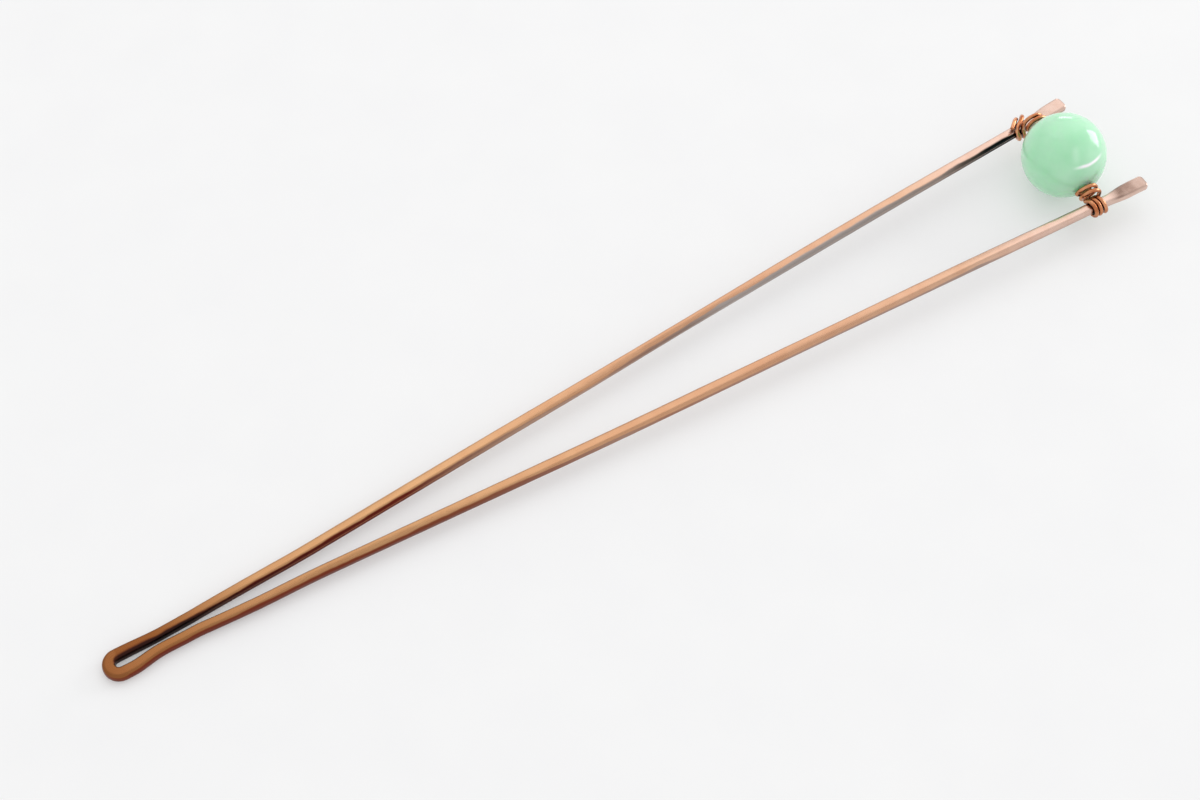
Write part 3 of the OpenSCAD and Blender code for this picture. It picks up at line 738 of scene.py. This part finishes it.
# The bead is turned on its hole: outside from mouth to mouth, a small chamfer, and the drilled wall
def makeBead(material):
    hole = wrap["thinDiameter"] / 2 + bead["holePlay"]
    lip = hole + bead["holeChamfer"]
    mouth = math.asin(lip / bead["radius"])
    outline = []
    for i in range(bead["rings"] + 1):
        a = mouth + (math.pi - 2 * mouth) * i / bead["rings"]
        outline.append((bead["radius"] * math.sin(a), bead["radius"] * math.cos(a)))
    wallEnd = outline[-1][1] + bead["holeChamfer"]
    for i in range(bead["holeRings"] + 1):
        outline.append((hole, wallEnd - 2 * wallEnd * i / bead["holeRings"]))
    slope = Matrix.Rotation(math.radians(bead["holeSlope"]), 3, "X")
    middle = inPartFrame(bead["middle"])
    vertices, faces = [], []
    n, count = bead["segments"], len(outline)
    for radius, out in outline:
        for k in range(n):
            a = 2 * math.pi * k / n
            p = slope @ Vector((radius * math.cos(a), out, radius * math.sin(a)))
            vertices.append(middle + p * mm)
    for i in range(count):
        for k in range(n):
            j, m = (i + 1) % count, (k + 1) % n
            faces.append((i * n + k, j * n + k, j * n + m, i * n + m))
    mesh = bpy.data.meshes.new("stone_bead")
    mesh.from_pydata(vertices, [], faces)
    mesh.materials.append(material)
    mesh.update()
    return addObject("stone_bead", mesh)


# How far a point looks for another surface, the step that takes it off its own, and how close two
# points are joined, in millimetres
closeness = {
    "shaftReach": 2.5,
    "wireReach": 1.0,
    "liftOff": 0.02,
    "weld": 0.0001,
}


def outwardFaces(piece):
    shape = bmesh.new()
    shape.from_mesh(piece.data)
    bmesh.ops.remove_doubles(shape, verts=shape.verts, dist=closeness["weld"] * mm)
    bmesh.ops.recalc_face_normals(shape, faces=shape.faces)
    shape.to_mesh(piece.data)
    shape.free()
    for face in piece.data.polygons:
        face.use_smooth = True


# How closed-in each point is: 1 where another surface is right in front of it, 0 where nothing is
# within the reach, kept on the mesh as a point attribute that the copper materials darken by: painted
# shade, with some oxide, in the closed-in places
def markRecesses(piece, others, reach):
    trees = []
    for other in others:
        trees.append(BVHTree.FromPolygons([v.co for v in other.data.vertices],
                                          [f.vertices for f in other.data.polygons]))
    values = []
    for v in piece.data.vertices:
        start = v.co + v.normal * closeness["liftOff"] * mm
        nearest = reach
        for tree in trees:
            hit = tree.ray_cast(start, v.normal, reach)
            if hit[3] is not None:
                nearest = min(nearest, hit[3])
        values.append(1 - nearest / reach)
    piece.data.attributes.new("recessShade", "FLOAT", "POINT").data.foreach_set("value", values)


# The thick wire's tones, where a layer's has the share that shows at most, and the sizes of its
# patterns in millimetres
forgedCopper = {
    "alongTop": [(0.00, "#93603A"), (0.06, "#A37044"), (0.15, "#BE8F64"), (0.30, "#C99B70"),
                 (0.50, "#CA9B78"), (0.65, "#C99A7A"), (0.85, "#D3AA8E"), (0.93, "#DCBBAA"),
                 (1.00, "#DDC0B2")],
    "cloud": ("#B0714C", 0.16),
    # darker brown on the tops, most of it near the fold
    "topBrownTone": ("#7A4520", 1.0),
    # painted dark reflection: the taupe that darkens the tops of the tips
    "tipShadeTone": ("#6E574C", 1.0),
    "brown": ("#74281A", 1.0),
    "grey": ("#9F9A98", 1.0),
    "black": ("#14171A", 1.0),
    # painted shade, with some oxide: near black where other surfaces close the thick wire in
    "recessShade": ("#120605", 0.95),
    "cloudSize": 2.381,
    "borderWaveSize": 5.0,
    "borderWaveDepth": 0.45,
    "borderSoftness": (0.25, 0.45),
    "tipMottle": 0.3,             # share of the painted dark reflection on the tip's top that comes and goes with the clouds
    "scratchLength": 4 / 3,
    "scratchesRound": 21.0,       # scratches across half the wire
    "polish": (0.20, 0.36),       # roughness, from the brightest to the dullest scratch
    "oxideRoughness": 0.08,
}


def forgedCopperMaterial():
    # Copper wire, hammered cold on its flats: golden brown at the fold, pink and bright by the bead, with
    # brown, grey and black on its sides, partly oxide of the annealing fire and partly painted shade and
    # painted reflection, near-black painted shade with some oxide where other surfaces close it in, and a
    # painted dark reflection on the tops of its tips
    finish = forgedCopper
    material = newMaterial("forgedCopper")
    tree = material.node_tree
    place = addNode(tree, "ShaderNodeTexCoord").outputs["Object"]
    marks = {}
    for label in ("station", "sectionAngle", "along", "innerRise", "outerRise", "tip", "tipShade",
                  "topBrown", "recessShade"):
        marks[label] = addNode(tree, "ShaderNodeAttribute", {"attribute_name": label}).outputs["Fac"]
    warmth = addNode(tree, "ShaderNodeValToRGB", {"Fac": marks["station"]})
    setStops(warmth.color_ramp, finish["alongTop"])

    # the oxide and painted shade lie below a wavy border on each side: the sine is -1 underneath and 1 on
    # top
    cosine, sine = [addNode(tree, "ShaderNodeMath", {"operation": operation, 0: marks["sectionAngle"]})
                    for operation in ("COSINE", "SINE")]
    outer = addNode(tree, "ShaderNodeMapRange", {
        "interpolation_type": "SMOOTHSTEP", "Value": cosine, "From Min": -0.1, "From Max": 0.1})
    above = addNode(tree, "ShaderNodeMapRange", {
        "interpolation_type": "SMOOTHSTEP", "Value": sine, "From Min": 0.3, "From Max": 0.6})
    rise = addNode(tree, "ShaderNodeMix", {
        "data_type": "FLOAT", "Factor": outer, "A": marks["innerRise"], "B": marks["outerRise"]})
    waves = addNode(tree, "ShaderNodeTexNoise", {
        "Vector": place, "Scale": 1 / (finish["borderWaveSize"] * mm), "Detail": 3.0})
    wave = addNode(tree, "ShaderNodeMath", {
        "operation": "MULTIPLY_ADD", 0: waves, 1: finish["borderWaveDepth"],
        2: -0.5 * finish["borderWaveDepth"]})
    straight = addNode(tree, "ShaderNodeMath", {"operation": "SUBTRACT", 0: rise, 1: sine})
    wavy = addNode(tree, "ShaderNodeMath", {"operation": "ADD", 0: straight, 1: wave})
    border = addNode(tree, "ShaderNodeMapRange", {
        "interpolation_type": "SMOOTHSTEP", "Value": wavy,
        "From Min": finish["borderSoftness"][0], "From Max": finish["borderSoftness"][1]})
    innerOxideAndShade = addNode(tree, "ShaderNodeAttribute", {"attribute_name": "innerOxideAndShade"})
    outerOxideAndShade = addNode(tree, "ShaderNodeAttribute", {"attribute_name": "outerOxideAndShade"})
    sideOxideAndShade = addNode(tree, "ShaderNodeMix", {
        "data_type": "VECTOR", "Factor": outer,
        4: innerOxideAndShade.outputs["Vector"], 5: outerOxideAndShade.outputs["Vector"]}).outputs[1]
    shownOxideAndShade = addNode(tree, "ShaderNodeVectorMath", {
        "operation": "SCALE", 0: sideOxideAndShade, "Scale": border})
    oxideAndShade = addNode(tree, "ShaderNodeSeparateXYZ", {"Vector": shownOxideAndShade})

    clouds = addNode(tree, "ShaderNodeTexNoise", {
        "Vector": place, "Scale": 1 / (finish["cloudSize"] * mm), "Detail": 4.0, "Roughness": 0.6})
    patches = addNode(tree, "ShaderNodeMapRange", {
        "interpolation_type": "SMOOTHSTEP", "Value": clouds, "From Min": 0.35, "From Max": 0.7})
    mottled = addNode(tree, "ShaderNodeMath", {
        "operation": "MULTIPLY_ADD", 0: patches, 1: finish["tipMottle"], 2: 1 - finish["tipMottle"]})
    # painted dark reflection: the tops of the tips are darkened towards taupe
    tipShadeHere = addNode(tree, "ShaderNodeMath", {"operation": "MULTIPLY", 0: marks["tipShade"], 1: marks["tip"]})
    tipShadeOnTop = addNode(tree, "ShaderNodeMath", {"operation": "MULTIPLY", 0: tipShadeHere, 1: above})
    tipShadeShown = addNode(tree, "ShaderNodeMath", {
        "operation": "MULTIPLY", "use_clamp": True, 0: tipShadeOnTop, 1: mottled})

    colour = warmth
    for cover, layer in ((patches, "cloud"), (marks["topBrown"], "topBrownTone"), (tipShadeShown, "tipShadeTone"),
                         (oxideAndShade.outputs["X"], "brown"), (oxideAndShade.outputs["Y"], "grey"),
                         (oxideAndShade.outputs["Z"], "black"), (marks["recessShade"], "recessShade")):
        tone, most = finish[layer]
        amount = addNode(tree, "ShaderNodeMath", {"operation": "MULTIPLY", 0: cover, 1: most})
        colour = addNode(tree, "ShaderNodeMix", {
            "data_type": "RGBA", "Factor": amount, 6: colour, 7: linearColour(tone)}).outputs[2]

    # scratches from the file and the steel wool run along the wire
    unrolled = addNode(tree, "ShaderNodeCombineXYZ", {"X": marks["along"], "Y": cosine, "Z": sine})
    stretch = (1 / (finish["scratchLength"] * mm), finish["scratchesRound"], finish["scratchesRound"])
    lengthwise = addNode(tree, "ShaderNodeVectorMath", {"operation": "MULTIPLY", 0: unrolled, 1: stretch})
    scratches = addNode(tree, "ShaderNodeTexNoise", {
        "Vector": lengthwise, "Scale": 1.0, "Detail": 5.0, "Roughness": 0.65})
    polish = addNode(tree, "ShaderNodeMapRange", {
        "Value": scratches, "From Min": 0.3, "From Max": 0.7,
        "To Min": finish["polish"][0], "To Max": finish["polish"][1]})
    roughness = addNode(tree, "ShaderNodeMath", {
        "operation": "MULTIPLY_ADD", "use_clamp": True,
        0: border, 1: finish["oxideRoughness"], 2: polish})
    bump = addNode(tree, "ShaderNodeBump", {"Height": scratches, "Strength": 0.25, "Distance": 0.02 * mm})
    surface = addNode(tree, "ShaderNodeBsdfPrincipled", {
        "Metallic": 1.0, "Base Color": colour, "Roughness": roughness, "Normal": bump})
    addNode(tree, "ShaderNodeOutputMaterial", {"Surface": surface})
    return material


drawnCopper = {
    "tones": [(0.30, "#B2673F"), (0.72, "#DFA279")],
    # painted shade, with some oxide: dark brown where turns lie against each other
    "recessShade": "#3A0F08",
    "recessFrom": 0.15,
    "recessTo": 0.85,
    "cloudSize": 1.4286,          # millimetres, as are the draw marks
    "drawMarkSize": 0.3846,
}


def drawnCopperMaterial():
    # Thin drawn copper wire: golden orange, smooth, darkened to brown where turns lie against each other,
    # partly oxide and partly painted shade
    finish = drawnCopper
    material = newMaterial("drawnCopper")
    tree = material.node_tree
    place = addNode(tree, "ShaderNodeTexCoord").outputs["Object"]
    clouds = addNode(tree, "ShaderNodeTexNoise", {
        "Vector": place, "Scale": 1 / (finish["cloudSize"] * mm), "Detail": 3.0})
    colour = addNode(tree, "ShaderNodeValToRGB", {"Fac": clouds})
    setStops(colour.color_ramp, finish["tones"])
    recessShade = addNode(tree, "ShaderNodeAttribute", {"attribute_name": "recessShade"})
    deep = addNode(tree, "ShaderNodeMapRange", {
        "Value": recessShade.outputs["Fac"], "From Min": finish["recessFrom"], "From Max": finish["recessTo"]})
    recessShaded = addNode(tree, "ShaderNodeMix", {
        "data_type": "RGBA", "Factor": deep, 6: colour, 7: linearColour(finish["recessShade"])}).outputs[2]
    drawMarks = addNode(tree, "ShaderNodeTexNoise", {
        "Vector": place, "Scale": 1 / (finish["drawMarkSize"] * mm), "Detail": 2.0})
    roughness = addNode(tree, "ShaderNodeMapRange", {"Value": drawMarks, "To Min": 0.16, "To Max": 0.32})
    bump = addNode(tree, "ShaderNodeBump", {"Height": drawMarks, "Strength": 0.15, "Distance": 0.01 * mm})
    surface = addNode(tree, "ShaderNodeBsdfPrincipled", {
        "Metallic": 1.0, "Base Color": recessShaded, "Roughness": roughness, "Normal": bump})
    addNode(tree, "ShaderNodeOutputMaterial", {"Surface": surface})
    return material


# Painted highlights: pale lines on the bead's skin, in millimetres from its middle: each lies in a plane
# with this normal and offset, wavers about it, and fades out at its reach from its own middle
beadPaintedHighlights = {
    "paintedArcHighlight": {"normal": (0.0, 0.0, 1.0), "offset": 3.1, "width": 0.36, "waver": 0.35,
                    "middle": (0.2, -4.95, 3.1), "reach": 3.0, "strength": 0.95, "tone": "#FFFFFF"},
    "paintedStreakHighlight": {"normal": (0.891, -0.448, -0.077), "offset": 0.0, "width": 0.9, "waver": 0.5,
                 "middle": (-1.45, -3.65, 4.4), "reach": 1.6, "strength": 0.16, "tone": "#F0FFF4"},
}

polishedStone = {
    "tones": [(0.28, "#A2D7B2"), (0.75, "#B8E0C3")],
    "cloudSize": 5.263,           # millimetres, as is the waver of the pale lines
    "waverSize": 2.857,
    "roughness": 0.08,
    "ior": 1.54,
    "lightDepth": 9.0,            # millimetres that light travels inside
    "lightTint": (0.7, 1.0, 0.8),
    "streakCore": 0.3,            # share of a pale line's reach where it is at full strength
}


def paintHighlightLine(tree, centred, below, streak):
    plane = addNode(tree, "ShaderNodeVectorMath", {
        "operation": "DOT_PRODUCT", 0: centred, 1: streak["normal"]}).outputs["Value"]
    waver = addNode(tree, "ShaderNodeTexNoise", {
        "Vector": centred, "Scale": 1 / (polishedStone["waverSize"] * mm), "Detail": 1.0})
    height = addNode(tree, "ShaderNodeMath", {
        "operation": "SUBTRACT", 0: plane, 1: (streak["offset"] + streak["waver"] / 2) * mm})
    wavy = addNode(tree, "ShaderNodeMath", {
        "operation": "MULTIPLY_ADD", 0: waver, 1: streak["waver"] * mm, 2: height})
    off = addNode(tree, "ShaderNodeMath", {"operation": "ABSOLUTE", 0: wavy})
    away = addNode(tree, "ShaderNodeVectorMath", {
        "operation": "DISTANCE", 0: centred, 1: [c * mm for c in streak["middle"]]}).outputs["Value"]
    near = addNode(tree, "ShaderNodeMapRange", {
        "interpolation_type": "SMOOTHSTEP", "Value": away,
        "From Min": polishedStone["streakCore"] * streak["reach"] * mm,
        "From Max": streak["reach"] * mm, "To Min": 1.0, "To Max": 0.0})
    line = addNode(tree, "ShaderNodeMapRange", {
        "interpolation_type": "SMOOTHSTEP", "Value": off, "From Min": 0.0,
        "From Max": streak["width"] * mm, "To Min": 1.0, "To Max": 0.0})
    shown = addNode(tree, "ShaderNodeMath", {"operation": "MULTIPLY", 0: line, 1: near})
    amount = addNode(tree, "ShaderNodeMath", {"operation": "MULTIPLY", 0: shown, 1: streak["strength"]})
    return addNode(tree, "ShaderNodeMix", {
        "data_type": "RGBA", "Factor": amount, 6: below, 7: linearColour(streak["tone"])}).outputs[2]


def polishedStoneMaterial():
    # Pale green translucent quartz, tumbled and polished: light goes deep into it and comes back soft,
    # with faint clouds, a painted arc highlight and a painted streak highlight, and a glassy skin
    finish = polishedStone
    material = newMaterial("polishedPaleGreenStone")
    tree = material.node_tree
    place = addNode(tree, "ShaderNodeTexCoord").outputs["Object"]
    centred = addNode(tree, "ShaderNodeMapping", {
        "vector_type": "POINT", "Vector": place, "Location": -inPartFrame(bead["middle"])})
    clouds = addNode(tree, "ShaderNodeTexNoise", {
        "Vector": centred, "Scale": 1 / (finish["cloudSize"] * mm), "Detail": 3.0, "Roughness": 0.5})
    colour = addNode(tree, "ShaderNodeValToRGB", {"Fac": clouds})
    setStops(colour.color_ramp, finish["tones"])
    # painted highlights: pale lines laid into the stone's colour
    for streak in beadPaintedHighlights.values():
        colour = paintHighlightLine(tree, centred, colour, streak)
    surface = addNode(tree, "ShaderNodeBsdfPrincipled", {
        "Base Color": colour, "Roughness": finish["roughness"], "IOR": finish["ior"],
        "Subsurface Weight": 1.0, "Subsurface Scale": finish["lightDepth"] * mm,
        "Subsurface Radius": finish["lightTint"]})
    addNode(tree, "ShaderNodeOutputMaterial", {"Surface": surface})
    return material


hammeredShaft = makeShaft(forgedCopperMaterial())
thinWire = makeWrapWire(drawnCopperMaterial())
stoneBead = makeBead(polishedStoneMaterial())
pieces = [hammeredShaft, thinWire, stoneBead]
for piece in pieces:
    outwardFaces(piece)
print("pieces made")

markRecesses(hammeredShaft, pieces, closeness["shaftReach"] * mm)
markRecesses(thinWire, pieces, closeness["wireReach"] * mm)
print("recesses marked")

for piece, node, slot in ((hammeredShaft, "shaft", "forged_copper"), (thinWire, "wrap_wire", "copper_wire"),
                          (stoneBead, "bead", "green_stone")):
    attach(piece, "root")
    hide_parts(node)
    print(piece.name, len(piece.data.polygons), "faces")
